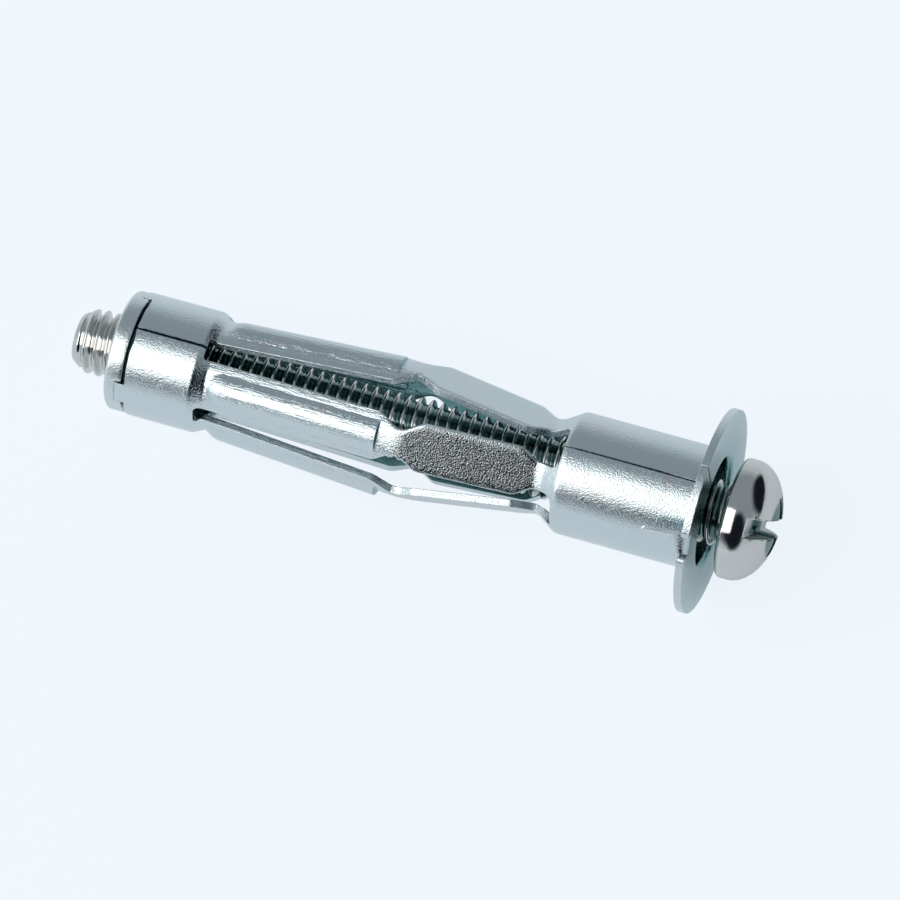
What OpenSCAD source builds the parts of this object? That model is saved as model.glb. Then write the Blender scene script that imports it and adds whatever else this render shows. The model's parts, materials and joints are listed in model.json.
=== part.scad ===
// Hollow wall anchor: a rolled sheet sleeve with a flange and five folding legs,
// a threaded nut pressed into its tail, and a round-headed machine screw.
// It lies as it comes to rest, on the rim of its flange and the end of its sleeve.
// Each piece is drawn upright: the axis is Z, zero is the front face of the flange,
// positive is towards the tail, and the seam of the sleeve is at angle 0.

/* [Sleeve] */
// Length of the sleeve, from the front of its flange to the end of its tail barrel
sleeve_len = 52.1; // [48:0.1:66]
// Outer diameter of the two barrels
barrel_d = 10.8; // [10:0.1:13.5]
// Thickness of the sheet
sheet_t = 0.65; // [0.5:0.05:0.8]
// Length of the head barrel, from the front of the flange to the flare
head_barrel_len = 12.9; // [8:0.1:18]
// Length of the tail barrel, which holds the nut
tail_barrel_len = 5.9; // [4:0.1:8]
// Width of the seam where the rolled sheet meets
seam_gap = 0.15; // [0.05:0.05:0.3]

/* [Flange] */
// Diameter of the flange
flange_d = 18.1; // [16:0.1:22]
// Thickness of the flange
flange_t = 0.7; // [0.5:0.05:1]
// Radius of the rounded mouth of the bore
mouth_r = 0.5; // [0.2:0.05:0.6]
// Radius in the corner between the flange and the barrel
corner_r = 0.3; // [0.1:0.05:0.6]

/* [Spikes] */
// Number of spikes that stop the anchor turning in the wall
spike_count = 2; // [1:1:4]
// Length of a spike behind the flange
spike_len = 3.6; // [2:0.1:5]
// Width of a spike where it leaves the flange
spike_w = 1.9; // [1.5:0.1:3]
// How far inside the rim a spike stands
spike_inset = 0.55; // [0.3:0.05:0.8]
// Outer radius of the bend of a spike
spike_bend_r = 1.0; // [0.8:0.05:1.3]
// Angle of the first spike, counted from the seam
spike_angle = -47; // [-90:1:90]

/* [Legs] */
// Number of legs
leg_count = 5; // [4:1:5]
// Angle between the two legs beside the seam
seam_pitch = 75.8; // [70:0.1:90]
// Width of the flat front part of a leg
leg_w = 4.25; // [3:0.05:4.5]
// Width of the ribbed tail part of a leg
rib_leg_w = 4.5; // [3.8:0.05:4.8]
// Width of a leg at its two necks, where it folds
neck_w = 2.5; // [1.8:0.1:2.9]
// Length of a neck
neck_len = 0.9; // [0.6:0.1:2]
// Length over which a leg narrows to its neck
neck_taper = 1.5; // [0.6:0.1:2]
// Distance from the flare to the front neck, at the waist
waist_len = 1.9; // [1.5:0.1:3]
// How far the waist stands inside the barrel, before its corner is rounded
waist_depth = 1.25; // [0.9:0.05:1.5]
// Distance from the waist to the middle neck, where a leg bends outwards
fold_len = 12.4; // [9:0.1:18]
// How far a leg stands outside the barrel at its bend, before the bend is rounded
bend_rise = 0.65; // [0.2:0.05:1.6]
// How far the root of a leg stands inside the barrel
root_depth = 0.55; // [0.2:0.05:0.8]
// Length of the shoulder between the root of a leg and the tail barrel
shoulder_len = 1.0; // [0.6:0.1:1.5]

/* [Ribs] */
// Width of the rib pressed into each leg
rib_w = 2.9; // [1.8:0.1:3.2]
// Height of the rib above the leg
rib_h = 0.5; // [0.3:0.05:0.7]
// Distance from the root of the leg to the round start of the rib
rib_start = 0.3; // [0.2:0.1:2]
// Distance from the square end of the rib to the bend of the leg
rib_end = 1.8; // [1.4:0.1:3]

/* [Nut] */
// Length of the nut inside the tail barrel
nut_len = 5.6; // [3:0.1:5.8]
// How far the nut's collar stands inside the barrel's outer surface
collar_step = 0.1; // [0:0.05:0.4]
// Length of the nut's collar behind the sleeve
collar_len = 1.6; // [1:0.1:2]
// Gap between the end of the sleeve and the collar
collar_gap = 0.35; // [0.1:0.05:0.6]
// Radius of the collar's rounded outer edge
collar_round = 0.4; // [0.1:0.05:0.5]
// Gap all round between the nut and the barrel
nut_fit = 0.02; // [0.01:0.01:0.05]
// Gap all round between the thread of the screw and the nut
thread_fit = 0.05; // [0.02:0.01:0.1]
// Number of tabs of the sleeve that lock the nut
tab_count = 3; // [2:1:3]
// Length of a tab beyond the end of the sleeve
tab_len = 0.85; // [0.5:0.05:1.2]
// Width of a tab
tab_w = 2.1; // [1.2:0.1:2.5]
// Gap round a tab in its notch
tab_fit = 0.06; // [0.03:0.01:0.15]
// Angle of the first tab, counted from the seam
tab_angle = -68; // [-90:1:-40]

/* [Screw] */
// Major diameter of the thread
screw_d = 5.8; // [4.8:0.1:6.2]
// How far the screw stands out behind the nut
tip_reach = 4.05; // [1.5:0.05:20]
// Gap between the head and the flange
head_gap = 1.6; // [0:0.1:8]
// Diameter of the head
head_d = 10.6; // [9.5:0.1:12]
// Height of the head
head_h = 4.2; // [3.6:0.1:5]
// Height of the widest part of the head above its underside
head_belt = 1.0; // [0.6:0.1:1.4]
// Length of the chamfer at the tip
tip_len = 1.2; // [0.6:0.1:2]
// Diameter of the flat end of the tip
tip_d = 4.2; // [3:0.1:4.6]

/* [Drive] */
// Width of the slot
slot_drive_w = 1.6; // [1:0.1:2]
// Depth of the slot
slot_drive_depth = 2.0; // [1.2:0.1:2.4]
// Width of a wing of the cross recess
wing_w = 1.1; // [0.8:0.1:1.4]
// Radius of the cross recess at the top of the head
wing_r = 2.9; // [2.4:0.1:3.6]
// Depth of the cross recess
wing_depth = 3.1; // [2.2:0.1:3.4]
// Radius of the cross recess at its bottom
wing_bottom_r = 0.9; // [0.6:0.1:1.2]
// Angle of the slot, counted from the seam
drive_angle = -30; // [-90:1:90]

/* [Rest] */
// Angle of the seam from the top, as the anchor lies, positive away from the front
seam_roll = -2.6; // [-30:0.1:30]

/* [Hidden] */
$fn = 96;
eps = 0.01;
far = 30;

barrel_r = barrel_d / 2;
bore_r = barrel_r - sheet_t;
flange_r = flange_d / 2;
nut_r = bore_r - nut_fit;
collar_r = barrel_r - collar_step;
waist_r = barrel_r - waist_depth;
bend_r = barrel_r + bend_rise;
root_r = barrel_r - root_depth;
screw_r = screw_d / 2;
head_r = head_d / 2;

// Stations along the axis
waist_z = head_barrel_len + waist_len;
bend_z = waist_z + fold_len;
barrel_z = sleeve_len - tail_barrel_len;
root_z = barrel_z - shoulder_len;
tabs_z = sleeve_len + tab_len;
collar_z = sleeve_len + collar_gap;
nut_end_z = collar_z + collar_len;
tip_z = nut_end_z + tip_reach;

// Corner radii of the sleeve's long section
flare_round = 0.8;
waist_round = 1.4;
bend_round = 5;
root_round = 0.5;
shoulder_round = 0.7;
round_steps = 4;

// The outer surface of the sleeve along its length, as radius and station,
// with the radius of each corner
section_path = [
    [barrel_r, flange_t + corner_r],
    [barrel_r, head_barrel_len],
    [waist_r, waist_z],
    [bend_r, bend_z],
    [root_r, root_z],
    [barrel_r, barrel_z],
    [barrel_r, tabs_z]
];
section_round = [0, flare_round, waist_round, bend_round, root_round, shoulder_round, 0];

// Where a leg's two necks start and end
waist_neck = [waist_z - neck_len / 2, waist_z + neck_len / 2];
bend_neck = [bend_z - neck_len / 2, bend_z + neck_len / 2];

// How far a leg's flat part lies inside the crown of its curved ends
flat_sink = 0.07;

// How far the spaces between the legs stop from the two barrels, their ends,
// and the chamfers in their corners
slot_front_gap = 0.4;
slot_tail_gap = 0.45;
slot_front_z = head_barrel_len + slot_front_gap;
slot_tail_z = barrel_z - slot_tail_gap;
front_chamfer = 0.5;
tail_chamfer = 0.3;

// The rib is part of a round bar that lies below the leg's surface
rib_r = (rib_w * rib_w / 4 + rib_h * rib_h) / (2 * rib_h);
rib_depth = rib_r - rib_h;
rib_back = rib_start + rib_w / 2;

// Edges of the nut and of the screw's head
nut_lead = 0.4;
head_edge_round = 0.35;

// Angles of the legs and of the spaces between them
leg_pitch = (360 - seam_pitch) / (leg_count - 1);
leg_angles = [for (i = [0 : leg_count - 1]) seam_pitch / 2 + i * leg_pitch];
slot_angles = [for (i = [0 : leg_count - 1]) i == 0 ? 0 : leg_angles[i - 1] + leg_pitch / 2];
slot_pitches = [for (i = [0 : leg_count - 1]) i == 0 ? seam_pitch : leg_pitch];

// The anchor lies on the back edge of its flange and the tabs at the end of its sleeve
tilt = atan((flange_r - barrel_r) / (tabs_z - flange_t));
rest_z = flange_r * cos(tilt) + flange_t * sin(tilt);
head_top = head_gap + head_h;
rest_x = (tip_z * cos(tilt) + tip_d / 2 * sin(tilt) - head_top * cos(tilt)) / 2;

function unit(v) = v / norm(v);
function left_of(v) = [-v[1], v[0]];

// Points of the arc that rounds the corner at b of the path a, b, c
function corner_arc(a, b, c, r) =
    let (
        u = unit(a - b),
        v = unit(c - b),
        half = acos(u * v) / 2,
        reach = r / tan(half),
        middle = b + unit(u + v) * r / sin(half),
        start = b + u * reach - middle,
        end = b + v * reach - middle,
        turn = 180 - 2 * half,
        side = sign(start[0] * end[1] - start[1] * end[0])
    )
    [for (i = [0 : round_steps])
        let (t = side * turn * i / round_steps)
        middle + [start[0] * cos(t) - start[1] * sin(t), start[0] * sin(t) + start[1] * cos(t)]];

// A path with its corners rounded
function rounded(path, radii) = [
    for (i = [0 : len(path) - 1])
        each radii[i] == 0 ? [path[i]] : corner_arc(path[i - 1], path[i], path[i + 1], radii[i])
];

// A path moved sideways by d, measured square to it
function beside(path, d) = [
    for (i = [0 : len(path) - 1])
        let (
            before = i == 0 ? path[1] - path[0] : path[i] - path[i - 1],
            after = i == len(path) - 1 ? before : path[i + 1] - path[i],
            n = unit(left_of(unit(before)) + left_of(unit(after)))
        )
        path[i] + n * d / (n * left_of(unit(before)))
];

function reversed(path) = [for (i = [len(path) - 1 : -1 : 0]) path[i]];

outer_path = rounded(section_path, section_round);
inner_path = beside(outer_path, sheet_t);

// Radius of the sleeve's outer surface at a station, read off its straight stretches
function sleeve_r(z) =
    z < waist_z ? waist_r
    : z < bend_z ? waist_r + (bend_r - waist_r) * (z - waist_z) / (bend_z - waist_z)
    : bend_r + (root_r - bend_r) * (z - bend_z) / (root_z - bend_z);

// Half of the flat width of the space between two legs of width w at a station
function slot_half(z, w, pitch) =
    let (r = sleeve_r(min(z, root_z)))
    r * sin(pitch / 2 - w / 2 / r * 180 / PI);

// One side of the space between two legs, as half width and station
function slot_side(pitch) = [
    [slot_half(waist_neck[0], neck_w, pitch) - front_chamfer, slot_front_z],
    [slot_half(waist_neck[0], neck_w, pitch), slot_front_z + front_chamfer],
    [slot_half(waist_neck[1], neck_w, pitch), waist_neck[1]],
    [slot_half(waist_neck[1] + neck_taper, leg_w, pitch), waist_neck[1] + neck_taper],
    [slot_half(bend_neck[0] - neck_taper, leg_w, pitch), bend_neck[0] - neck_taper],
    [slot_half(bend_neck[0], neck_w, pitch), bend_neck[0]],
    [slot_half(bend_neck[1], neck_w, pitch), bend_neck[1]],
    [slot_half(bend_neck[1] + neck_taper, rib_leg_w, pitch), bend_neck[1] + neck_taper],
    [slot_half(root_z, rib_leg_w, pitch), root_z],
    [slot_half(root_z, rib_leg_w, pitch), slot_tail_z - tail_chamfer],
    [slot_half(root_z, rib_leg_w, pitch) - tail_chamfer, slot_tail_z]
];

// Half of the outline of a leg's flat part, as half width and station
flat_side = [
    [neck_w / 2, waist_z],
    [neck_w / 2, waist_neck[1]],
    [leg_w / 2, waist_neck[1] + neck_taper],
    [leg_w / 2, bend_neck[0] - neck_taper],
    [neck_w / 2, bend_neck[0]],
    [neck_w / 2, bend_z]
];

// A path between two stations, as it starts and ends there
function stretch(path, a, b) =
    let (by_station = [for (p = path) [p[1], p[0]]])
    concat([[lookup(a, by_station), a]],
           [for (p = path) if (p[1] > a + eps && p[1] < b - eps) p],
           [[lookup(b, by_station), b]]);

// Half of the head's outline, an ellipse from its widest part to its top
function head_edge(steps) = [
    for (i = [0 : steps])
        let (t = 90 * i / steps)
        [head_r * cos(t), -head_gap - head_belt - (head_h - head_belt) * sin(t)]
];

// Lays a piece down as the anchor comes to rest, with its head towards +X
module at_rest() {
    translate([rest_x, 0, rest_z]) rotate([0, -90 - tilt, 0]) rotate([0, 0, seam_roll]) children();
}

// The solid outside of the sleeve, with its flange
module sleeve_outside() {
    rotate_extrude() polygon(concat(
        [[0, 0], [flange_r, 0], [flange_r, flange_t], [barrel_r + corner_r, flange_t]],
        [for (i = [1 : round_steps - 1])
            let (t = 90 * i / round_steps)
            [barrel_r + corner_r - corner_r * sin(t), flange_t + corner_r - corner_r * cos(t)]],
        outer_path,
        [[0, tabs_z]]
    ));
}

// The space inside the sleeve, with the rounded mouth of its bore
module sleeve_inside() {
    rotate_extrude() polygon(concat(
        [[0, -far], [bore_r + mouth_r, -far]],
        [for (i = [0 : round_steps])
            let (t = 90 * i / round_steps)
            [bore_r + mouth_r - mouth_r * sin(t), mouth_r - mouth_r * cos(t)]],
        [for (p = inner_path) p[1] > flange_t + corner_r + eps ? p : [bore_r, flange_t + corner_r]],
        [[bore_r, far * 3], [0, far * 3]]
    ));
}

// The cut between two legs
module slot(pitch) {
    side = slot_side(pitch);
    rotate([90, 0, 90]) translate([0, 0, root_r / 2])
        linear_extrude(bend_r)
            polygon(concat(side, [for (p = reversed(side)) [-p[0], p[1]]]));
}

// The flat part of a leg, from the waist to the bend
module flat_leg() {
    intersection() {
        rotate([90, 0, 0]) translate([0, 0, -leg_w]) linear_extrude(2 * leg_w)
            translate([-flat_sink, 0]) polygon(concat(
                stretch(outer_path, waist_z, bend_z),
                reversed(stretch(inner_path, waist_z, bend_z))
            ));
        rotate([90, 0, 90]) linear_extrude(bend_r + 1)
            polygon(concat(flat_side, [for (p = reversed(flat_side)) [-p[0], p[1]]]));
    }
}

// A round bar that runs down the middle of a leg, with a ball at its root end
module leg_bar(r, front, back, depth) {
    slope = atan((bend_r - root_r) / (root_z - bend_z));
    run = norm([bend_r - root_r, root_z - bend_z]);
    translate([bend_r, 0, bend_z]) rotate([0, -slope, 0]) translate([-depth, 0, 0]) {
        translate([0, 0, front]) cylinder(r = r, h = run - back - front);
        translate([0, 0, run - back]) sphere(r = r);
    }
}

// The triangular outline of a spike, spread square to the axis
module spike_outline() {
    rotate([90, 0, 90]) linear_extrude(flange_r + 1)
        polygon([
            [-spike_w / 2, -1], [spike_w / 2, -1], [spike_w / 2, spike_bend_r],
            [0, flange_t + spike_len], [-spike_w / 2, spike_bend_r]
        ]);
}

// The side view of a spike: the flange's edge bent back towards the tail
module spike_side() {
    face = flange_r - spike_inset;
    turn = face - spike_bend_r;
    inner = spike_bend_r - flange_t;
    rotate([90, 0, 0]) translate([0, 0, -spike_w])
        linear_extrude(2 * spike_w)
            polygon(concat(
                [[turn - 1, flange_t], [turn - 1, 0]],
                [for (i = [0 : 2 * round_steps])
                    let (t = 90 * i / 2 / round_steps)
                    [turn + spike_bend_r * sin(t), spike_bend_r - spike_bend_r * cos(t)]],
                [[face, flange_t + spike_len + 1], [face - flange_t, flange_t + spike_len + 1]],
                [for (i = [2 * round_steps : -1 : 0])
                    let (t = 90 * i / 2 / round_steps)
                    [turn + inner * sin(t), spike_bend_r - inner * cos(t)]]
            ));
}

module spike() {
    intersection() {
        spike_side();
        spike_outline();
    }
}

// The spaces between the tabs at the tail end of the sleeve
module tab_spaces() {
    tab_arc = tab_w / barrel_r * 180 / PI;
    for (i = [0 : tab_count - 1])
        rotate(tab_angle + tab_arc / 2 + i * 360 / tab_count)
            rotate_extrude(angle = 360 / tab_count - tab_arc)
                translate([bore_r - 1, sleeve_len]) square([sheet_t + 2, tab_len + 1]);
}

// The notches of the nut's collar that the tabs stand in
module tab_notches() {
    notch_arc = (tab_w + 2 * tab_fit) / barrel_r * 180 / PI;
    for (i = [0 : tab_count - 1])
        rotate(tab_angle - notch_arc / 2 + i * 360 / tab_count)
            rotate_extrude(angle = notch_arc)
                translate([nut_r - tab_fit, collar_z - tab_fit])
                    square([sheet_t + 1, tabs_z - collar_z + 2 * tab_fit]);
}

module sleeve() {
    color([0.72, 0.77, 0.79]) at_rest() {
        difference() {
            union() {
                sleeve_outside();
                for (a = leg_angles) rotate(a) leg_bar(rib_r, rib_end, rib_back, rib_depth);
            }
            sleeve_inside();
            for (a = leg_angles)
                rotate(a) leg_bar(rib_r - sheet_t, rib_end + sheet_t, rib_back, rib_depth);
            for (i = [0 : leg_count - 1]) rotate(slot_angles[i]) slot(slot_pitches[i]);
            for (i = [0 : spike_count - 1])
                rotate(spike_angle + i * 360 / spike_count)
                    translate([flange_r - spike_inset - spike_bend_r, -spike_w / 2, -1])
                        cube([far, spike_w, flange_t + 2]);
            translate([0, -seam_gap / 2, -1]) cube([far, seam_gap, far * 3]);
            tab_spaces();
            translate([0, 0, waist_z]) cylinder(r = far, h = bend_z - waist_z);
        }
        for (a = leg_angles) rotate(a) flat_leg();
        for (i = [0 : spike_count - 1]) rotate(spike_angle + i * 360 / spike_count) spike();
    }
}

// The nut: a threaded barrel with a collar that the tabs lock
module nut() {
    hole_r = screw_r + thread_fit;
    color([0.70, 0.74, 0.76]) at_rest() difference() {
        rotate_extrude() polygon(concat(
            [
                [hole_r + nut_lead, sleeve_len - nut_len], [nut_r, sleeve_len - nut_len],
                [nut_r, collar_z], [collar_r, collar_z]
            ],
            [for (i = [0 : round_steps])
                let (t = 90 * i / round_steps)
                [collar_r, nut_end_z] + collar_round * [cos(t) - 1, sin(t) - 1]],
            [[hole_r + nut_lead, nut_end_z], [hole_r, nut_end_z - nut_lead],
             [hole_r, sleeve_len - nut_len + nut_lead]]
        ));
        tab_notches();
    }
}

// The recess in the head for a blade or a cross driver
module drive() {
    rotate(drive_angle) translate([0, 0, -head_top]) {
        translate([-far, -slot_drive_w / 2, -1])
            cube([2 * far, slot_drive_w, slot_drive_depth + 1]);
        intersection() {
            translate([0, 0, -1]) cylinder(
                r1 = wing_r + (wing_r - wing_bottom_r) / wing_depth,
                r2 = wing_bottom_r,
                h = wing_depth + 1
            );
            union() {
                translate([-far, -wing_w / 2, -far]) cube([2 * far, wing_w, 2 * far]);
                translate([-wing_w / 2, -far, -far]) cube([wing_w, 2 * far, 2 * far]);
            }
        }
    }
}

// The screw: a domed head and a plain shank at the thread's major diameter
module screw() {
    color([0.68, 0.68, 0.66]) at_rest() difference() {
        rotate_extrude() polygon(concat(
            [
                [0, tip_z], [tip_d / 2, tip_z], [screw_r, tip_z - tip_len],
                [screw_r, -head_gap], [head_r - head_edge_round, -head_gap],
                [head_r, -head_gap - head_edge_round]
            ],
            head_edge(18)
        ));
        drive();
    }
}

sleeve();
nut();
screw();
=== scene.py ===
"""A hollow wall anchor: the looks of its sleeve, nut and screw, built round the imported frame.

Every piece is drawn in millimetres in the anchor's own frame. Z runs along its axis from the
front face of the flange towards the tail, and the seam of the sleeve is at angle 0.
"""

import json
import math

import bmesh
import bpy
import numpy as np
from mathutils import Matrix, Vector


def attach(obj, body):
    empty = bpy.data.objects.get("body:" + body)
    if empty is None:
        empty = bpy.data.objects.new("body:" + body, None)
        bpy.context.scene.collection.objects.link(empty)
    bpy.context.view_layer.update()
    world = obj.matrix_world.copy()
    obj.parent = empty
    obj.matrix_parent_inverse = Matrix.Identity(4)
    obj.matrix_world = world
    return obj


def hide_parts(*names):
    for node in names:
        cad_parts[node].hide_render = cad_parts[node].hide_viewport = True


MM = 0.001

# Sleeve: stations along the axis and radii of its outer surface
SLEEVE_LEN = 52.1
BARREL_R = 5.4
SHEET_T = 0.65
HEAD_BARREL_LEN = 12.9
TAIL_BARREL_LEN = 5.9
SHOULDER_LEN = 1.0
WAIST_Z, WAIST_R = 14.8, 4.15
BEND_Z, BEND_R = 27.2, 6.05
BARREL_Z = SLEEVE_LEN - TAIL_BARREL_LEN
ROOT_Z, ROOT_R = BARREL_Z - SHOULDER_LEN, 4.85
FLARE_ROUND, WAIST_ROUND, BEND_ROUND, ROOT_ROUND, SHOULDER_ROUND = 0.8, 1.4, 5, 0.5, 0.7
SEAM_ROLL = math.radians(-2.6)  # how far the anchor is rolled from having its seam on top
SEAM_GAP_HEAD, SEAM_GAP_TAIL = 0.09, 0.17
END_WAVE = 0.025  # unevenness of the sleeve's tail end, as waves with these counts and shifts
END_WAVES = ((7, 0), (11, 1), (17, 2))
EDGE_R = 0.05  # rounding of every sheared edge of the sheet

# Flange, with the radius of its corner at the barrel and that of the mouth of the bore
FLANGE_R, FLANGE_T = 9.05, 0.7
CORNER_R, MOUTH_R = 0.3, 0.5

# Spikes: triangles bent back from the flange. The inset is from the rim to a spike's outer face, and
# the cut is the gap beside its root. The tip is skewed to one side, and the spike twists lengthwise.
SPIKE_ANGLES = [math.radians(a) for a in (133, 313)]
SPIKE_LEN, SPIKE_HALF_W, SPIKE_TIP_W = 3.6, 0.95, 0.06
SPIKE_INSET, SPIKE_BEND_R, SPIKE_CUT = 0.55, 1.0, 0.03
SPIKE_SKEW, SPIKE_TWIST = 0.5, 0.24
SPIKE_FADE = (1.2, 7)  # stations between which columns turn from the spikes' sides to their own angles

# Legs, and the slots between them
LEG_COUNT, SEAM_PITCH = 5, 75.8
LEG_PITCH = (360 - SEAM_PITCH) / (LEG_COUNT - 1)
LEG_ANGLES = np.radians(SEAM_PITCH / 2 + LEG_PITCH * np.arange(LEG_COUNT))
LEG_HALF_W, RIB_LEG_HALF_W, NECK_HALF_W = 2.13, 2.25, 1.22
WAIST_NECK_Z, WAIST_TAPER = 15.2, 1.5
BEND_NECK_Z, BEND_NECK_LEN, BEND_TAPER = 27.25, 0.9, 1.5
BEND_NECK_ENDS = (BEND_NECK_Z - BEND_NECK_LEN / 2, BEND_NECK_Z + BEND_NECK_LEN / 2)
NECK_SOFTNESS = 0.3  # how far along the leg its corners are softened
SLOT_FRONT_Z, SLOT_TAIL_Z = 13.2, 45.75
SLOT_FRONT_R, SLOT_TAIL_R = 0.85, 0.4
FORMED_FRONT_Z, FORMED_TAIL_Z = 16, 44.9  # between these a leg has its full form
NUB_H, NUB_W = 0.2, 0.15  # nubs left by the shears at the middle neck

# How far a leg's edges curl in, from which place across its half, and how sharply
FLAT_CURL, FLAT_CURL_FROM, FLAT_CURL_POWER = 0.07, 0.8, 2
RIB_CURL, RIB_CURL_FROM, RIB_CURL_POWER = 0.12, 0.62, 1.5

# Ribs: the top of a round bar with a ball at its tail end and a square front end
RIB_W, RIB_H = 2.9, 0.52
RIB_FRONT_Z, RIB_BALL_Z, RIB_WALL = 29.0, 43.5, 0.12
RIB_CREASE = 0.05  # softness of the crease at its foot

# Columns of the sleeve's mesh: places across half a leg, closest at the rib's foot, the steps across
# a gap between legs, and the share of it that the seam's lips take
LEG_PLACES = np.array([
    0, 0.09, 0.18, 0.27, 0.36, 0.44, 0.52, 0.585, 0.63, 0.665, 0.70, 0.78, 0.86, 0.93, 1.0])
GAP_STEPS, LIP_SHARE = 5, 0.02

# Tabs at the end of the sleeve, and the nut that they lock
TAB_ANGLES = [math.radians(a) for a in (52, 172, 292)]
TAB_LEN, TAB_HALF_W, TAB_FIT = 0.85, 1.05, 0.06
TAB_FADE = (47.5, 51)  # stations between which columns turn to the tabs' sides
NUT_FRONT_Z, NUT_MIDDLE_Z, NUT_R, NUT_BORE_R, NUT_LEAD = 46.8, 50, 4.73, 2.95, 0.4
COLLAR_Z, COLLAR_END_Z, COLLAR_R, COLLAR_ROUND = 52.45, 54.05, 5.3, 0.4
NOTCH_END_Z = SLEEVE_LEN + TAB_LEN + TAB_FIT

# Screw, and its thread's section: shares of the pitch and of the thread's depth
SCREW_R, ROOT_DEPTH, PITCH = 2.9, 0.56, 1.0
HEAD_Z, TIP_Z, TIP_LEN, TIP_R = -1.6, 58.1, 1.2, 2.1
HEAD_R, HEAD_H, HEAD_BELT, HEAD_EDGE = 5.3, 4.2, 1.0, 0.35
THREAD_RISE = [(0, 0), (0.08, 0.02), (0.16, 0.13), (0.26, 0.46), (0.34, 0.77), (0.42, 0.95)]
THREAD_SECTION = np.array(THREAD_RISE + [(0.5, 1)] + [(1 - x, h) for x, h in THREAD_RISE[:0:-1]])
THREAD_SIDES, HEAD_SIDES = 72, 96

# Recess in the screw's head: a slot and two crossed wings that narrow downwards
SLOT_W, SLOT_DEPTH = 1.6, 2.0
WING_W, WING_R, WING_DEPTH, WING_BOTTOM_R, WING_FLOOR_SHARE = 1.1, 2.9, 3.1, 0.9, 0.8
DRIVE_ANGLE = math.radians(-30.4)  # the CAD's is -30, and at that angle the cut comes out empty
RECESS_EDGE, RECESS_EDGE_ANGLE = 0.09, math.radians(38)  # width of its rounded edges, and least turn

# Plating: scales of the noises in its finish, the values between which stains and rougher metal come
# in, and the height of its dents in metres
STAIN_SCALE, POLISH_SCALE, DENT_SCALE, PEEL_SCALE = 260, 900, 420, 7800
STAIN_DETAIL, STAIN_DISTORTION = 3, 0.6
STAIN_FROM, STAIN_FULL = 0.60, 0.74
POLISH_FROM, POLISH_FULL = 0.3, 0.7
STREAK_SCALE, STREAK_CUT = 5200, 0.94  # and the share of the length along the axis that is cut out
DENT_HEIGHT = 12e-6
RECESS_ROUGH = 0.42
DOME_WORN, DOME_CLEAN = 0.88, 0.96  # squares of the shares of the dome's size where wear fades out
FACES_IN = (-0.2, -0.6)  # cosines from the way out where a face starts to look in, and where it does
FACES_FRONT = (-0.7, -0.9)  # the same for the front, from the way to the tail
FACE_REACH = 3.2  # how far past the rim the painted shade on the flange's face would fade out

# Camera: a long lens at the photograph's angle, aimed just below the axis at a station. The distance
# and the width that its frame shows there are in metres
CAMERA_AZIMUTH, CAMERA_ELEVATION = math.radians(19), math.radians(63.8)
CAMERA_DISTANCE, FRAME_WIDTH = 0.75, 0.0776
AIM_Z, AIM_DROP = 24.0, 0.95
TO_CAMERA = Vector((
    math.cos(CAMERA_ELEVATION) * math.sin(CAMERA_AZIMUTH),
    -math.cos(CAMERA_ELEVATION) * math.cos(CAMERA_AZIMUTH),
    math.sin(CAMERA_ELEVATION)))

# Studio: the room's colours with the sines of their heights, the floor's half size and glow, the lamp.
# An aim is an angle round the axis, above the camera's, and an angle towards the tail. A dark patch
# has its aim and the cosines of the angles from it where it starts and is full.
BACKDROP = (0.863, 0.922, 0.973)
HORIZON, HORIZON_TOP = (0.56, 0.62, 0.66), 0.08
ROOM, ROOM_FROM = (0.27, 0.315, 0.345), 0.46
DARK = (0.008, 0.01, 0.016)
DARK_PATCHES = [((-28, -18), 0.74, 0.85), ((104, -50), 0.81, 0.90)]
FLOOR_HALF, FLOOR_GLOW, CAMERA_GLOW_SHARE, MIRROR_GLOW_SHARE = 3.0, 1.07, 0.88, 0.37
LAMP_AIM, LAMP_DISTANCE, LAMP_WIDTH, LAMP_HEIGHT = (-8.5, 33.5), 0.6, 0.764, 0.53
LAMP_RADIANCE, LAMP_COLOR = 1.9, (1.0, 0.98, 0.97)


# ---------------------------------------------------------------- paths and curves

def unit(v):
    """A vector, made one long."""
    return v / np.linalg.norm(v)


def unit_rows(v):
    """Each vector of an array, made one long."""
    return v / np.maximum(np.linalg.norm(v, axis=-1, keepdims=True), 1e-12)


def smooth(x, start, end):
    """0 before start, 1 after end, and a smooth ramp between."""
    t = np.clip((np.asarray(x, float) - start) / (end - start), 0, 1)
    return t * t * (3 - 2 * t)


def arc(centre, radius, start, end, steps):
    """Points of an arc, with its angles in degrees."""
    t = np.radians(np.linspace(start, end, steps + 1))
    return np.c_[centre[0] + radius * np.cos(t), centre[1] + radius * np.sin(t)]


def rounded(path, radii, steps=10):
    """A path with its corners turned into arcs."""
    points = []
    for i, (p, r) in enumerate(zip(path, radii)):
        if r == 0:
            points.append(p)
            continue
        u, v = unit(path[i - 1] - p), unit(path[i + 1] - p)
        half = math.acos(u @ v) / 2
        middle = p + unit(u + v) * r / math.sin(half)
        a = p + u * r / math.tan(half) - middle
        b = p + v * r / math.tan(half) - middle
        turn = math.atan2(a[0] * b[1] - a[1] * b[0], a @ b)
        for t in np.linspace(0, turn, steps + 1):
            c, s = math.cos(t), math.sin(t)
            points.append(middle + np.array([a[0] * c - a[1] * s, a[0] * s + a[1] * c]))
    return np.array(points)


def spread(stops):
    """Stations that run through the stops, each given as (station, largest step up to it)."""
    out = [stops[0][0]]
    for (a, _), (b, step) in zip(stops, stops[1:]):
        n = max(1, math.ceil(abs(b - a) / step - 1e-9))
        out += list(np.linspace(a, b, n + 1)[1:])
    return np.array(out)


# ---------------------------------------------------------------- meshes

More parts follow.
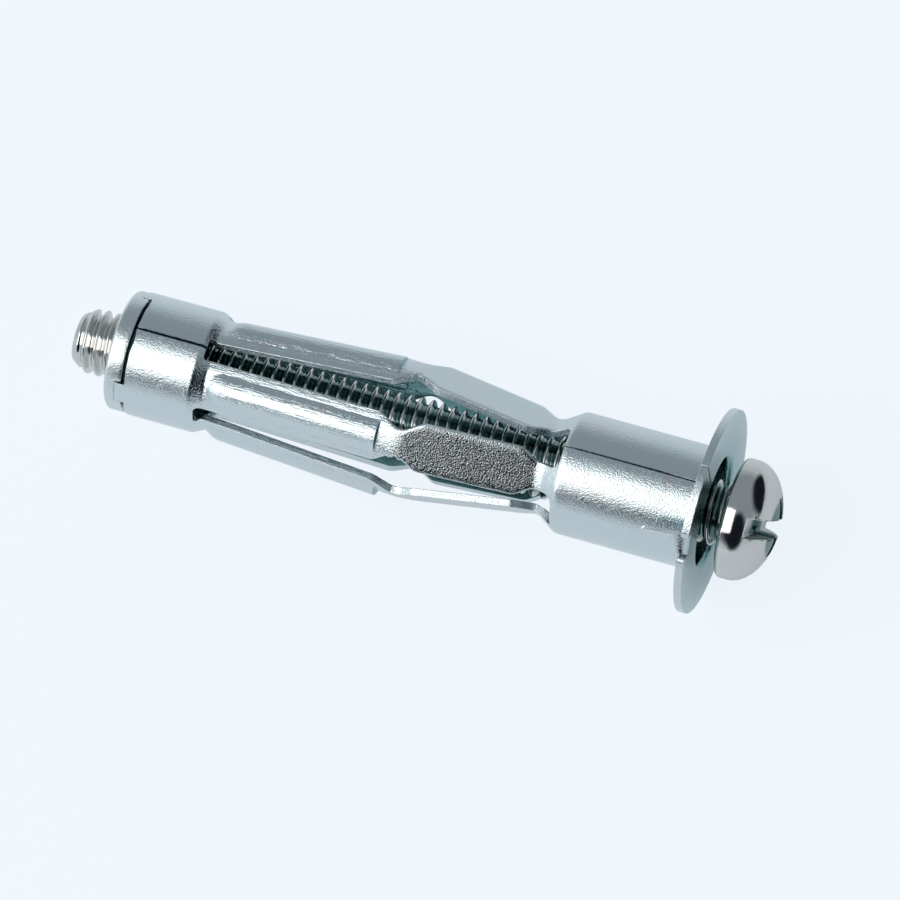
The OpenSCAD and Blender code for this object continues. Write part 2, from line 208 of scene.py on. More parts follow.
def make_object(name, points, faces, normals=None):
    """A piece at its place in the row frame, from points in the anchor's own frame."""
    mesh = bpy.data.meshes.new(name)
    world = (np.asarray(points) @ ANCHOR_TURN.T) * MM + ANCHOR_PLACE
    mesh.from_pydata(world.tolist(), [], faces)
    mesh.validate()
    mesh.shade_smooth()
    if normals is not None:
        mesh.normals_split_custom_set_from_vertices((normals @ ANCHOR_TURN.T).tolist())
    piece = bpy.data.objects.new(name, mesh)
    bpy.context.scene.collection.objects.link(piece)
    return piece


def grid_quads(cols, keep, first=0):
    """The quads of a grid of points with this many columns, for the cells that are kept."""
    i, j = np.nonzero(keep)
    a = first + i * cols + j
    return np.c_[a, a + 1, a + cols + 1, a + cols]


def face_normals(points, quads):
    """Area normals of quads."""
    p = points[quads]
    return np.cross(p[:, 2] - p[:, 0], p[:, 3] - p[:, 1])


def vertex_normals(points, quads):
    """The normal of a skin at each of its points."""
    normals = np.zeros_like(points)
    for corner in range(4):
        np.add.at(normals, quads[:, corner], face_normals(points, quads))
    return unit_rows(normals)


def border(quads):
    """The edges that have a quad on one side only, in that quad's own direction."""
    edges = np.concatenate([quads[:, [k, (k + 1) % 4]] for k in range(4)])
    known = set(map(tuple, edges.tolist()))
    return np.array([e for e in edges.tolist() if (e[1], e[0]) not in known])


def outwards(points, normals, edges):
    """For each border point, the direction in the skin that points off its edge."""
    off = np.zeros_like(points)
    a, b = edges[:, 0], edges[:, 1]
    way = points[b] - points[a]
    np.add.at(off, a, unit_rows(np.cross(way, normals[a])))
    np.add.at(off, b, unit_rows(np.cross(way, normals[b])))
    return unit_rows(off)


def sheet_solid(outer, inner, quads, edge_r):
    """A closed sheet from two matching skins, with walls along every edge and those edges rounded.

    Each skin is drawn back from its rim by the edge's radius, and three rings of points lead from it
    to the wall: its own rim, one half way round the edge and one on the wall.
    """
    both, index = np.unique(np.round(np.c_[outer, inner], 5), axis=0, return_inverse=True)
    outer, inner, quads = both[:, :3], both[:, 3:], index.ravel()[quads]
    edges = border(quads)
    rim = np.unique(edges)
    in_rim = np.zeros(len(outer), int)
    in_rim[rim] = np.arange(len(rim))
    through = unit_rows(outer - inner)
    away = outwards(outer, through, edges)[rim]
    points, normals, faces, rings = [], [], [], []
    first = 0
    for skin, side in ((outer, 1), (inner, -1)):
        up = through[rim] * side
        half_way = (up + away) / math.sqrt(2)
        surface = skin.copy()
        surface[rim] -= away * edge_r
        centre = skin[rim] - away * edge_r - up * edge_r
        points += [surface, centre + half_way * edge_r, centre + away * edge_r]
        normals += [vertex_normals(skin, quads) * side, half_way, away]
        faces.append(quads[:, ::side] + first)
        round_edge = first + len(skin)
        rings.append([edges + first, in_rim[edges] + round_edge, in_rim[edges] + round_edge + len(rim)])
        first = round_edge + 2 * len(rim)
    chain = rings[0] + rings[1][::-1]
    for near, far in zip(chain, chain[1:]):
        faces.append(np.c_[near[:, 1], near[:, 0], far[:, 0], far[:, 1]])
    return np.concatenate(points), np.concatenate(faces).tolist(), np.concatenate(normals)


# ---------------------------------------------------------------- sleeve

def sleeve_section():
    """The outer surface along the sleeve, as radius and station, from the flange to past the tabs."""
    past_tabs = SLEEVE_LEN + TAB_LEN + 1
    path = np.array([
        (BARREL_R, FLANGE_T + CORNER_R), (BARREL_R, HEAD_BARREL_LEN), (WAIST_R, WAIST_Z),
        (BEND_R, BEND_Z), (ROOT_R, ROOT_Z), (BARREL_R, BARREL_Z), (BARREL_R, past_tabs)])
    return rounded(path, [0, FLARE_ROUND, WAIST_ROUND, BEND_ROUND, ROOT_ROUND, SHOULDER_ROUND, 0])


def section_at(stations):
    """Outer radius, and inner radius and station, where the outer surface is at these stations."""
    path = sleeve_section()
    radius = np.interp(stations, path[:, 1], path[:, 0])
    step = 0.02
    slope = (np.interp(stations + step, path[:, 1], path[:, 0])
             - np.interp(stations - step, path[:, 1], path[:, 0])) / (2 * step)
    length = np.sqrt(1 + slope**2)
    return radius, radius - SHEET_T / length, stations + SHEET_T * slope / length


def half_width(z):
    """Half the width of a leg at stations along it."""
    neck_start, neck_end = BEND_NECK_ENDS
    stops = np.array([
        (SLOT_FRONT_Z, NECK_HALF_W), (WAIST_NECK_Z, NECK_HALF_W),
        (WAIST_NECK_Z + WAIST_TAPER, LEG_HALF_W), (neck_start - BEND_TAPER, LEG_HALF_W),
        (neck_start, NECK_HALF_W), (neck_end, NECK_HALF_W),
        (neck_end + BEND_TAPER, RIB_LEG_HALF_W), (SLOT_TAIL_Z, RIB_LEG_HALF_W)])
    blur = np.linspace(-NECK_SOFTNESS, NECK_SOFTNESS, 13)
    width = np.mean([np.interp(z + d, stops[:, 0], stops[:, 1]) for d in blur], axis=0)
    for end, radius in ((SLOT_FRONT_Z, SLOT_FRONT_R), (SLOT_TAIL_Z, SLOT_TAIL_R)):
        inside = np.clip(radius - np.abs(z - end), 0, radius)
        width = width + radius - np.sqrt(radius**2 - inside**2)
    return width


def shear_nubs(z):
    """Two small nubs left by the shears on one edge of the middle neck."""
    return NUB_H * sum(np.exp(-((z - end) / NUB_W) ** 2) for end in BEND_NECK_ENDS)


def rib_height(x, z, thickness):
    """Height of the rib over its leg, or of its hollow back with the sheet's thickness taken off."""
    radius = (RIB_W**2 / 4 + RIB_H**2) / (2 * RIB_H)
    depth = radius - RIB_H
    bar = radius - thickness
    past = np.maximum(z - RIB_BALL_Z, 0)
    top = np.sqrt(np.maximum(bar**2 - x**2 - past**2, 0)) - depth + thickness
    height = (top + np.sqrt(top**2 + RIB_CREASE**2)) / 2 - RIB_CREASE**2 / 2
    front = RIB_FRONT_Z + thickness
    return np.where(height > RIB_CREASE / 2, height, 0) * smooth(z, front, front + RIB_WALL)


def edge_curl(place, depth, start, power):
    """How far the sheet curls in at places across a leg."""
    return depth * np.clip((np.abs(place) - start) / (1 - start), 0, 1) ** power


def sleeve_columns():
    """The columns round the sleeve: for each the leg that it is on or follows, and its place.

    A place from -1 to 1 is across the leg; one from 1 to 2 is across the gap after it.
    Leg -1 stands for the half gap before the first leg.
    """
    across = np.r_[-LEG_PLACES[:0:-1], LEG_PLACES]
    between = 1 + np.arange(1, GAP_STEPS) / GAP_STEPS
    columns = [(-1, p) for p in np.r_[1, 1 + LIP_SHARE, between]]
    for leg in range(LEG_COUNT):
        columns += [(leg, p) for p in across]
        columns += [(leg, p) for p in between]
    columns += [(LEG_COUNT - 1, p) for p in (2 - LIP_SHARE, 2)]
    return np.array([c[0] for c in columns]), np.array([c[1] for c in columns])


def column_angles(leg, place, half_before, half_after, seam_lip):
    """Angles of the columns, for rows with these half angles before and after each leg's middle."""
    starts = LEG_ANGLES - half_before
    ends = LEG_ANGLES + half_after
    gap_from = np.c_[seam_lip, ends]
    gap_to = np.c_[starts, 2 * math.pi - seam_lip]
    in_gap = place >= 1
    share = np.where(in_gap, place - 1, 0)
    gap = leg + 1
    angle_gap = gap_from[:, gap] * (1 - share) + gap_to[:, gap] * share
    half = np.where(place < 0, half_before[:, leg], half_after[:, leg])
    angle_leg = LEG_ANGLES[leg] + place * half
    return np.where(in_gap, angle_gap, angle_leg)


def warped(angles, edges, weight):
    """Angles with the columns nearest to the edges moved onto them, as far as the row's weight says."""
    base = angles[0]
    picked = [int(np.argmin(np.abs(base - e))) for e in edges]
    known = np.r_[base[0], base[picked], base[-1]]
    wanted = np.r_[base[0], edges, base[-1]]
    return angles + weight[:, None] * (np.interp(base, known, wanted) - base), picked


def seam_gap(z):
    """The seam opens from the flange to the tail."""
    return SEAM_GAP_HEAD + (SEAM_GAP_TAIL - SEAM_GAP_HEAD) * smooth(z, HEAD_BARREL_LEN, SLEEVE_LEN)


def sector_edges(middles, half_w, radius):
    """The angles on both sides of each middle, in order."""
    half = math.asin(half_w / radius)
    return np.sort([a + s * half for a in middles for s in (-1, 1)])


def polar(radius, angle, z):
    """Points from their radius, angle and station."""
    radius, angle, z = np.broadcast_arrays(radius, angle, z)
    return np.stack([radius * np.cos(angle), radius * np.sin(angle), z], axis=-1)


def spun(x, y, angle):
    """A point turned about the axis."""
    return x * math.cos(angle) - y * math.sin(angle), x * math.sin(angle) + y * math.cos(angle)


def leg_half_widths(z):
    """Half widths before and after each leg's middle, at stations along the legs."""
    after = np.repeat(half_width(z)[:, None], LEG_COUNT, axis=1)
    return after + shear_nubs(z)[:, None], after


def flange_rows(ring_r):
    """Rows over the flange and round its corner, as outer radii and stations and inner ones."""
    flat_r = spread([(ring_r, 0), (BARREL_R + CORNER_R, 0.4)])
    turn = np.radians(np.linspace(0, 90, 7))[1:-1]
    drop, rise = 1 - np.sin(turn), 1 - np.cos(turn)
    bore_r = BARREL_R - SHEET_T
    flat_inner_r = np.interp(flat_r, [flat_r[-1], ring_r], [bore_r + MOUTH_R, ring_r])
    return (np.r_[flat_r, BARREL_R + CORNER_R * drop],
            np.r_[np.full(len(flat_r), FLANGE_T), FLANGE_T + CORNER_R * rise],
            np.r_[flat_inner_r, bore_r + MOUTH_R * drop],
            np.r_[np.zeros(len(flat_r)), MOUTH_R * rise])


def tube_rows():
    """Rows from the corner to the tail, closest together where the sheet is bent or cut."""
    z = spread([
        (FLANGE_T + CORNER_R, 0), (HEAD_BARREL_LEN - 0.4, 1.0), (SLOT_FRONT_Z, 0.08),
        (SLOT_FRONT_Z + 0.04, 0.02), (SLOT_FRONT_Z + 0.9, 0.08), (WAIST_Z + 0.9, 0.1),
        (WAIST_NECK_Z + WAIST_TAPER + 0.4, 0.13), (BEND_NECK_Z - 2.4, 0.3),
        (RIB_FRONT_Z - 0.05, 0.11), (RIB_FRONT_Z + RIB_WALL + 0.05, 0.03),
        (RIB_FRONT_Z + SHEET_T + 0.3, 0.07), (RIB_BALL_Z, 0.3), (ROOT_Z + 0.3, 0.07),
        (SLOT_TAIL_Z - 0.04, 0.06), (SLOT_TAIL_Z, 0.02), (BARREL_Z + 0.4, 0.06), (SLEEVE_LEN, 0.7)])
    outer_r, inner_r, inner_z = section_at(z)
    mouth_end = 3
    in_barrel = z < HEAD_BARREL_LEN - 1
    inner_z[in_barrel] = np.interp(z[in_barrel], [z[0], mouth_end], [MOUTH_R, mouth_end])
    return outer_r, z, inner_r, inner_z


def fitted_angles(angles, z, ring_r):
    """Angles whose columns also meet the sides of the spikes and of the tabs, and those columns."""
    spike_edges = sector_edges(SPIKE_ANGLES, SPIKE_HALF_W, ring_r)
    tab_edges = sector_edges(TAB_ANGLES, TAB_HALF_W, BARREL_R)
    near_flange = 1 - smooth(z, *SPIKE_FADE)
    near_tail = smooth(z, *TAB_FADE)
    head_angles, spike_cols = warped(angles, spike_edges, near_flange)
    tail_angles, tab_cols = warped(angles[::-1], tab_edges, near_tail[::-1])
    return np.where((z < BEND_Z)[:, None], head_angles, tail_angles[::-1]), spike_cols, tab_cols


def form_legs(skins, leg, place, half, leg_r, outer_z):
    """Makes the legs flat in front of the bend, and ribbed strips with the barrel's curve behind it."""
    started = smooth(outer_z, SLOT_FRONT_Z, FORMED_FRONT_Z)
    ended = smooth(outer_z, FORMED_TAIL_Z, SLOT_TAIL_Z)
    weight = np.where(np.abs(place) <= 1, (started * (1 - ended))[:, None], 0)[..., None]
    curved = smooth(outer_z, BEND_Z - 1, RIB_FRONT_Z)[:, None]
    flat_curl = edge_curl(place, FLAT_CURL, FLAT_CURL_FROM, FLAT_CURL_POWER)
    rib_curl = edge_curl(place, RIB_CURL, RIB_CURL_FROM, RIB_CURL_POWER)
    curl = flat_curl * (1 - curved) + rib_curl * curved
    x = place * half
    turn = x / leg_r
    middle = LEG_ANGLES[leg]
    radial = np.stack([np.cos(middle), np.sin(middle), 0 * middle], axis=-1)
    sideways = np.stack([-np.sin(middle), np.cos(middle), 0 * middle], axis=-1)
    for skin, radius, z, thickness in skins:
        lift = rib_height(x, z[:, None], thickness) - curl
        out = radius[:, None] * (1 - curved + curved * np.cos(turn)) + lift
        across = x * (1 - curved) + radius[:, None] * np.sin(turn) * curved
        strip = out[..., None] * radial + across[..., None] * sideways
        strip[..., 2] += z[:, None]
        skin[:] = skin * (1 - weight) + strip * weight


def straighten_roots(skin, spike_cols, ring_r):
    """Runs the flange's ring row straight across the root of each spike."""
    chord = math.sqrt(ring_r**2 - SPIKE_HALF_W**2)
    for angle, a, b in zip(SPIKE_ANGLES, spike_cols[::2], spike_cols[1::2]):
        y = np.linspace(-SPIKE_HALF_W, SPIKE_HALF_W, b - a + 1)
        skin[0, a:b + 1, 0], skin[0, a:b + 1, 1] = spun(chord, y, angle)


def sheet_cells(leg, place, z):
    """The cells of the sleeve's grid that are sheet: all but those in the slots between legs."""
    in_slot = (z[:-1] >= SLOT_FRONT_Z - 1e-6) & (z[1:] <= SLOT_TAIL_Z + 1e-6)
    on_leg = np.abs(place) <= 1
    same_leg = on_leg[:-1] & on_leg[1:] & (leg[:-1] == leg[1:])
    return ~in_slot[:, None] | same_leg[None, :]


def sleeve_skins():
    """The outer and inner points of the sleeve's sheet, and the quads between them."""
    leg, place = sleeve_columns()
    ring_r = math.hypot(FLANGE_R - SPIKE_INSET - SPIKE_BEND_R, SPIKE_HALF_W)
    tube = tube_rows()
    outer_r, outer_z, inner_r, inner_z = [np.r_[a, b] for a, b in zip(flange_rows(ring_r), tube)]

    # Columns run straight along the barrels, and between them along each leg's own edges
    leg_z = np.clip(outer_z, SLOT_FRONT_Z, SLOT_TAIL_Z)
    before, after = leg_half_widths(leg_z)
    leg_r = np.interp(leg_z, tube[1], tube[0])[:, None]
    angles = column_angles(leg, place, before / leg_r, after / leg_r, seam_gap(outer_z) / 2 / outer_r)
    angles, spike_cols, tab_cols = fitted_angles(angles, outer_z, ring_r)

    wave = END_WAVE * sum(np.sin(count * angles + shift) for count, shift in END_WAVES)
    wave = wave * smooth(outer_z, SLEEVE_LEN - 1.5, SLEEVE_LEN)[:, None]
    outer = polar(outer_r[:, None], angles, outer_z[:, None] + wave)
    inner = polar(inner_r[:, None], angles, inner_z[:, None] + wave)
    half = np.where(place < 0, before[:, leg], after[:, leg])
    skins = ((outer, outer_r, outer_z, 0), (inner, inner_r, inner_z, SHEET_T))
    form_legs(skins, leg, place, half, leg_r, outer_z)
    straighten_roots(outer, spike_cols, ring_r)
    straighten_roots(inner, spike_cols, ring_r)

    patches = [(outer, inner, sheet_cells(leg, place, outer_z))]
    patches += flange_ring(outer[0], inner[0], angles[0], spike_cols, ring_r)
    patches += [spike_patch(outer[0, a:b + 1], angle)
                for angle, a, b in zip(SPIKE_ANGLES, spike_cols[::2], spike_cols[1::2])]
    patches += [tab_patch(angles[-1, a:b + 1], outer[-1, a:b + 1], inner[-1, a:b + 1])
                for a, b in zip(tab_cols[::2], tab_cols[1::2])]
    return joined(patches)


def flange_ring(outer_row, inner_row, angles, spike_cols, ring_r):
    """The flange between its rim and the ring row, in the stretches between the spikes."""
    radii = spread([(FLANGE_R, 0), (ring_r + 0.05, 0.3), (ring_r, 0.05)])
    stretches = [(0, spike_cols[0]), (spike_cols[1], spike_cols[2]), (spike_cols[3], len(angles) - 1)]
    patches = []
    for a, b in stretches:
        ring = polar(radii[:, None], angles[a:b + 1], FLANGE_T)
        for col, side in ((a, 1), (b, -1)):
            if col not in spike_cols:
                continue
            spike = SPIKE_ANGLES[spike_cols.index(col) // 2]
            y = side * (SPIKE_HALF_W + SPIKE_CUT * (radii > ring_r))
            x = np.sqrt(radii**2 - y**2)
            ring[:, col - a, 0], ring[:, col - a, 1] = spun(x, y, spike)
        front = ring.copy()
        front[..., 2] = 0
        ring[-1], front[-1] = outer_row[a:b + 1], inner_row[a:b + 1]
        patches.append((ring, front, np.ones((len(radii) - 1, b - a), bool)))
    return patches


def spike_patch(root, angle):
    """A spike, from its tip to its root on the flange."""
    face = FLANGE_R - SPIKE_INSET
    turn_r = face - SPIKE_BEND_R
    tip_z, bend_z = FLANGE_T + SPIKE_LEN, SPIKE_BEND_R
    straight = spread([(tip_z, 0), (bend_z + 0.3, 0.25), (bend_z, 0.15)])
    turn = np.radians(np.linspace(90, 0, 13))[1:]
    y = np.linspace(-1, 1, root.shape[0])
    skins = []
    for radius in (SPIKE_BEND_R - FLANGE_T, SPIKE_BEND_R):
        out = np.r_[np.full(len(straight), turn_r + radius), turn_r + radius * np.sin(turn)]
        z = np.r_[straight, bend_z - radius * np.cos(turn)]
        width = np.interp(z, [bend_z, tip_z], [SPIKE_HALF_W, SPIKE_TIP_W])
        twisted = smooth(z, 0.3, bend_z + 0.6)
        bow = -SPIKE_TWIST * y[:, None] * width * twisted
        across = y[:, None] * width + np.interp(z, [bend_z, tip_z], [0, SPIKE_SKEW])
        height = np.broadcast_to(z, across.shape)
        skins.append(np.stack([*spun(out - bow, across, angle), height], axis=-1).transpose(1, 0, 2))
    skins[0][-1] = root
    skins[1][-1] = root * [1, 1, 0]
    return skins[0], skins[1], np.ones((len(out) - 1, len(y) - 1), bool)


def tab_patch(angles, outer_row, inner_row):
    """A tab, from the end of the sleeve to its own end."""
    z = SLEEVE_LEN + np.linspace(0, TAB_LEN, 8)
    outer = polar(BARREL_R, angles[None, :], z[:, None])
    inner = polar(BARREL_R - SHEET_T, angles[None, :], z[:, None])
    outer[0], inner[0] = outer_row, inner_row
    return outer, inner, np.ones((len(z) - 1, len(angles) - 1), bool)


def joined(patches):
    """Several grids as one list of outer points, inner points and quads."""
    outer, inner, quads, first = [], [], [], 0
    for out, ins, keep in patches:
        rows, cols = out.shape[:2]
        outer.append(out.reshape(-1, 3))
        inner.append(ins.reshape(-1, 3))
        quads.append(grid_quads(cols, keep, first))
        first += rows * cols
    return np.concatenate(outer), np.concatenate(inner), np.concatenate(quads)


def make_sleeve():
    """The sleeve in one piece: barrels, legs, flange, spikes and tabs."""
    outer, inner, quads = sleeve_skins()
    points, faces, normals = sheet_solid(outer, inner, quads, EDGE_R)
    return make_object("sleeve_sheet", points, faces, normals)


# ---------------------------------------------------------------- nut and screw

def turned(profile, angles, reshaped=None):
    """A turned shape from its closed section, as points and faces, with its radii reshaped where asked."""
    r, z = profile[:, :1], profile[:, 1:]
    radius = np.broadcast_to(r, (len(r), len(angles)))
    if reshaped is not None:
        radius = reshaped(radius, angles[None, :], z)
    points = polar(radius, angles[None, :], z).reshape(-1, 3)
    rows, cols = radius.shape
    i, j = np.meshgrid(np.arange(rows), np.arange(cols), indexing="ij")
    i, j = i.ravel(), j.ravel()
    i2, j2 = (i + 1) % rows, (j + 1) % cols
    faces = np.c_[i * cols + j, i * cols + j2, i2 * cols + j2, i2 * cols + j]
    return points, faces.tolist()


def nut_section():
    """The closed section of the nut: its barrel, the foot of its collar and its collar."""
    front_edge, foot, collar_edge, bore_edge = 0.1, 0.06, 0.08, 0.05
    foot_end, notch_step, face_r = 0.1, 0.04, 4.2
    return np.concatenate([
        [(NUT_BORE_R + NUT_LEAD, NUT_FRONT_Z), (NUT_R - front_edge, NUT_FRONT_Z)],
        arc((NUT_R - front_edge, NUT_FRONT_Z + front_edge), front_edge, -90, 0, 3)[1:],
        [(NUT_R, NUT_MIDDLE_Z), (NUT_R, COLLAR_Z - foot), (NUT_R + foot, COLLAR_Z)],
        [(COLLAR_R - foot_end, COLLAR_Z)],
        arc((COLLAR_R - collar_edge, COLLAR_Z + collar_edge), collar_edge, -90, 0, 3)[1:],
        [(COLLAR_R, NOTCH_END_Z - notch_step), (COLLAR_R, NOTCH_END_Z + notch_step)],
        arc((COLLAR_R - COLLAR_ROUND, COLLAR_END_Z - COLLAR_ROUND), COLLAR_ROUND, 0, 90, 8),
        [(face_r, COLLAR_END_Z), (NUT_BORE_R + NUT_LEAD, COLLAR_END_Z)],
        arc((NUT_BORE_R + NUT_LEAD, COLLAR_END_Z - bore_edge), bore_edge, 90, 135, 2)[1:],
        [(NUT_BORE_R, COLLAR_END_Z - NUT_LEAD), (NUT_BORE_R, NUT_MIDDLE_Z),
         (NUT_BORE_R, NUT_FRONT_Z + NUT_LEAD)]])


def make_nut():
    """The nut's barrel and collar, with the notches where the tabs stand."""
    half = (TAB_HALF_W + TAB_FIT) / BARREL_R
    wall = np.radians([-0.6, -0.25, 0.25, 0.6])  # columns across each side wall of a notch
    walls = np.concatenate([a + side * half + wall for a in TAB_ANGLES for side in (-1, 1)])
    angles = np.unique(np.r_[np.radians(np.arange(0, 360, 3.75)), walls % (2 * math.pi)])

    def notched(radius, angle, z):
        """The radius, drawn in to the nut's barrel at the notches."""
        off = np.min([np.abs((angle - a + math.pi) % (2 * math.pi) - math.pi) for a in TAB_ANGLES], axis=0)
        inside = 1 - smooth(off, half - wall[-1], half + wall[-1])
        inside = inside * (z < NOTCH_END_Z) * (z > COLLAR_Z - 0.1)
        return np.where(radius > NUT_R, radius + (NUT_R - TAB_FIT - radius) * inside, radius)

    points, faces = turned(nut_section(), angles, notched)
    return make_object("nut_body", points, faces)


def thread_points(start, end):
    """The threaded shank: rows that climb with the helix, cut off at both ends."""
    turns = math.ceil((end - start) / PITCH) + 2
    base = (np.arange(turns)[:, None] + THREAD_SECTION[:, 0]).ravel() * PITCH + start - 1.5 * PITCH
    depth = np.tile(1 - THREAD_SECTION[:, 1], turns) * ROOT_DEPTH
    angle = 2 * math.pi * np.arange(THREAD_SIDES + 1) / THREAD_SIDES
    climbing = base[:, None] + PITCH * angle / (2 * math.pi)
    z = np.clip(climbing, start, end)
    radius = np.minimum(SCREW_R - depth[:, None], np.interp(z, [end - TIP_LEN, end], [SCREW_R, TIP_R]))
    rows, cols = radius.shape
    faces = grid_quads(cols, np.ones((rows - 1, cols - 1), bool))
    return polar(radius, angle, z).reshape(-1, 3), faces


def make_screw():
    """The screw in one piece: its threaded shank, its end and its head."""
    sunk = 0.4  # how far the shank runs into the head
    points, faces = thread_points(HEAD_Z - sunk, TIP_Z)
    screw = make_object("screw_body", points, faces.tolist())
    welded(screw, 1e-7)
    pieces = [screw, make_head()]
    with bpy.context.temp_override(active_object=screw, object=screw, selected_editable_objects=pieces):
        bpy.ops.object.join()
    return screw


def welded(piece, distance):
    """Merges a mesh's doubled points, closes its ends and turns its faces outwards."""
    mesh = bmesh.new()
    mesh.from_mesh(piece.data)
    bmesh.ops.remove_doubles(mesh, verts=mesh.verts, dist=distance)
    bmesh.ops.holes_fill(mesh, edges=[e for e in mesh.edges if e.is_boundary])
    bmesh.ops.recalc_face_normals(mesh, faces=mesh.faces)
    mesh.to_mesh(piece.data)
    mesh.free()


def bake(piece, modifier):
    """Bakes a modifier into the piece's mesh."""
    with bpy.context.temp_override(object=piece, active_object=piece):
        bpy.ops.object.modifier_apply(modifier=modifier.name)


def make_head():
    """The round head, with its slot and cross recess cut out and their edges rounded."""
    top, belt = HEAD_Z - HEAD_H, HEAD_Z - HEAD_BELT
    pole_r, seat_r, corner_r, seat_end = 0.02, 3.2, HEAD_R - HEAD_EDGE, 0.1
    dome = arc((0, 0), 1, 0, 90, 22) * [HEAD_R, -(HEAD_H - HEAD_BELT)] + [0, belt]
    section = np.concatenate([
        [(pole_r, HEAD_Z), (seat_r, HEAD_Z), (corner_r - seat_end, HEAD_Z)],
        arc((corner_r, HEAD_Z - HEAD_EDGE), HEAD_EDGE, 90, 0, 6), dome[:-1], [(pole_r, top)]])
    points, faces = turned(section[::-1], 2 * math.pi * np.arange(HEAD_SIDES) / HEAD_SIDES)
    head = make_object("head_blank", points, faces)
    welded(head, 1.5 * pole_r * MM)
    combine(head, make_drive_cutter(top), "DIFFERENCE")
    soft = head.modifiers.new("soft", "BEVEL")
    soft.width = RECESS_EDGE * MM
    soft.segments = 2
    soft.limit_method = "ANGLE"
    soft.angle_limit = RECESS_EDGE_ANGLE
    soft.use_clamp_overlap = False
    bake(head, soft)
    return head


def combine(piece, other, operation):
    """Adds another mesh to the piece or cuts it away, and removes it."""
    modifier = piece.modifiers.new("combine", "BOOLEAN")
    modifier.object = other
    modifier.operation = operation
    modifier.solver = "EXACT"
    bake(piece, modifier)
    bpy.data.objects.remove(other)


def box_corners(x, y):
    """The corners of a rectangle about the axis."""
    return [(-x, -y), (x, -y), (x, y), (-x, y)]


def cutter_block(name, top_corners, bottom_corners, z_top, z_bottom):
    """A block of the cutter, between two outlines, turned to the recess's angle."""
    points = [(*spun(x, y, DRIVE_ANGLE), z)
              for corners, z in ((top_corners, z_top), (bottom_corners, z_bottom)) for x, y in corners]
    n = len(top_corners)
    faces = [list(range(n))[::-1], list(range(n, 2 * n))]
    faces += [[i, (i + 1) % n, n + (i + 1) % n, n + i] for i in range(n)]
    return make_object(name, points, faces)


def make_drive_cutter(top):
    """The slot and the cross, as one closed shape that is cut from the head."""
    above = 1.0  # how far the cutter stands over the head
    slot_outline = box_corners(HEAD_R + 1, SLOT_W / 2)
    cutter = cutter_block("cut_slot", slot_outline, slot_outline, top - above, top + SLOT_DEPTH)
    reach = WING_R + (WING_R - WING_BOTTOM_R) / WING_DEPTH * above
    half, floor_half = WING_W / 2, WING_W / 2 * WING_FLOOR_SHARE
    for upper, lower in (((reach, half), (WING_BOTTOM_R, floor_half)),
                         ((half, reach), (floor_half, WING_BOTTOM_R))):
        outlines = box_corners(*upper), box_corners(*lower)
        combine(cutter, cutter_block("cut_wing", *outlines, top - above, top + WING_DEPTH), "UNION")
    return cutter


# ---------------------------------------------------------------- materials

def zinc(name, base, stain, painted_shade, painted_shade_mask, rough, peel, streak=0, worn=None):
    """Bright zinc plating: a clear metal with fine orange peel, soft dents and faint stains.

    Base, stain and shade are colours, and the shade is painted shade. Shaded and worn are functions
    of the tree and the place that say how far the painted shade shows and how rough the metal is
    worn. Rough is its lowest and highest roughness, and peel and streak are heights in metres.
    """
    material = bpy.data.materials.new(name)
    material.use_nodes = True
    tree = material.node_tree
    shader = tree.nodes["Principled BSDF"]
    shader.inputs["Metallic"].default_value = 1.0
    place = tree.nodes.new("ShaderNodeTexCoord").outputs["Object"]

    spots = noise(tree, place, STAIN_SCALE, STAIN_DETAIL, STAIN_DISTORTION)
    stains = ramp(tree, spots, (STAIN_FROM, base), (STAIN_FULL, stain))
    # Painted shade, mixed over the stained plating where the mask says
    color = tree.nodes.new("ShaderNodeMixRGB")
    color.inputs["Color2"].default_value = (*painted_shade, 1)
    tree.links.new(painted_shade_mask(tree, place), color.inputs["Fac"])
    tree.links.new(stains, color.inputs["Color1"])
    tree.links.new(color.outputs["Color"], shader.inputs["Base Color"])

    low, high = rough
    wear = noise(tree, place, POLISH_SCALE)
    polish = ramp(tree, wear, (POLISH_FROM, (low,) * 3), (POLISH_FULL, (high,) * 3))
    if worn is not None:
        polish = combined(tree, "MAXIMUM", polish, worn(tree, place))
    tree.links.new(polish, shader.inputs["Roughness"])

    dents = bump(tree, noise(tree, place, DENT_SCALE), DENT_HEIGHT)
    lines = noise(tree, drawn_out(tree, place), STREAK_SCALE)
    streaks = bump(tree, combined(tree, "MULTIPLY", lines, on_ribs(tree, place)), streak, dents)
    skin = bump(tree, noise(tree, place, PEEL_SCALE), peel, streaks)
    tree.links.new(skin, shader.inputs["Normal"])
    return material


def noise(tree, place, scale, detail=2, distortion=0.0):
    """A noise at this scale."""
    node = tree.nodes.new("ShaderNodeTexNoise")
    node.inputs["Scale"].default_value = scale
    node.inputs["Detail"].default_value = detail
    node.inputs["Distortion"].default_value = distortion
    tree.links.new(place, node.inputs["Vector"])
    return node.outputs["Fac"]


def bump(tree, height, distance, before=None):
    """The normal of a relief, laid over the relief before it."""
    node = tree.nodes.new("ShaderNodeBump")
    node.inputs["Distance"].default_value = distance
    tree.links.new(height, node.inputs["Height"])
    if before is not None:
        tree.links.new(before, node.inputs["Normal"])
    return node.outputs["Normal"]


def ramp(tree, value, *stops):
    """A colour that changes between two stops, each a position of the value and its colour."""
    node = tree.nodes.new("ShaderNodeValToRGB")
    for element, (position, color) in zip(node.color_ramp.elements, stops):
        element.position, element.color = position, (*color, 1)
    tree.links.new(value, node.inputs["Fac"])
    return node.outputs["Color"]


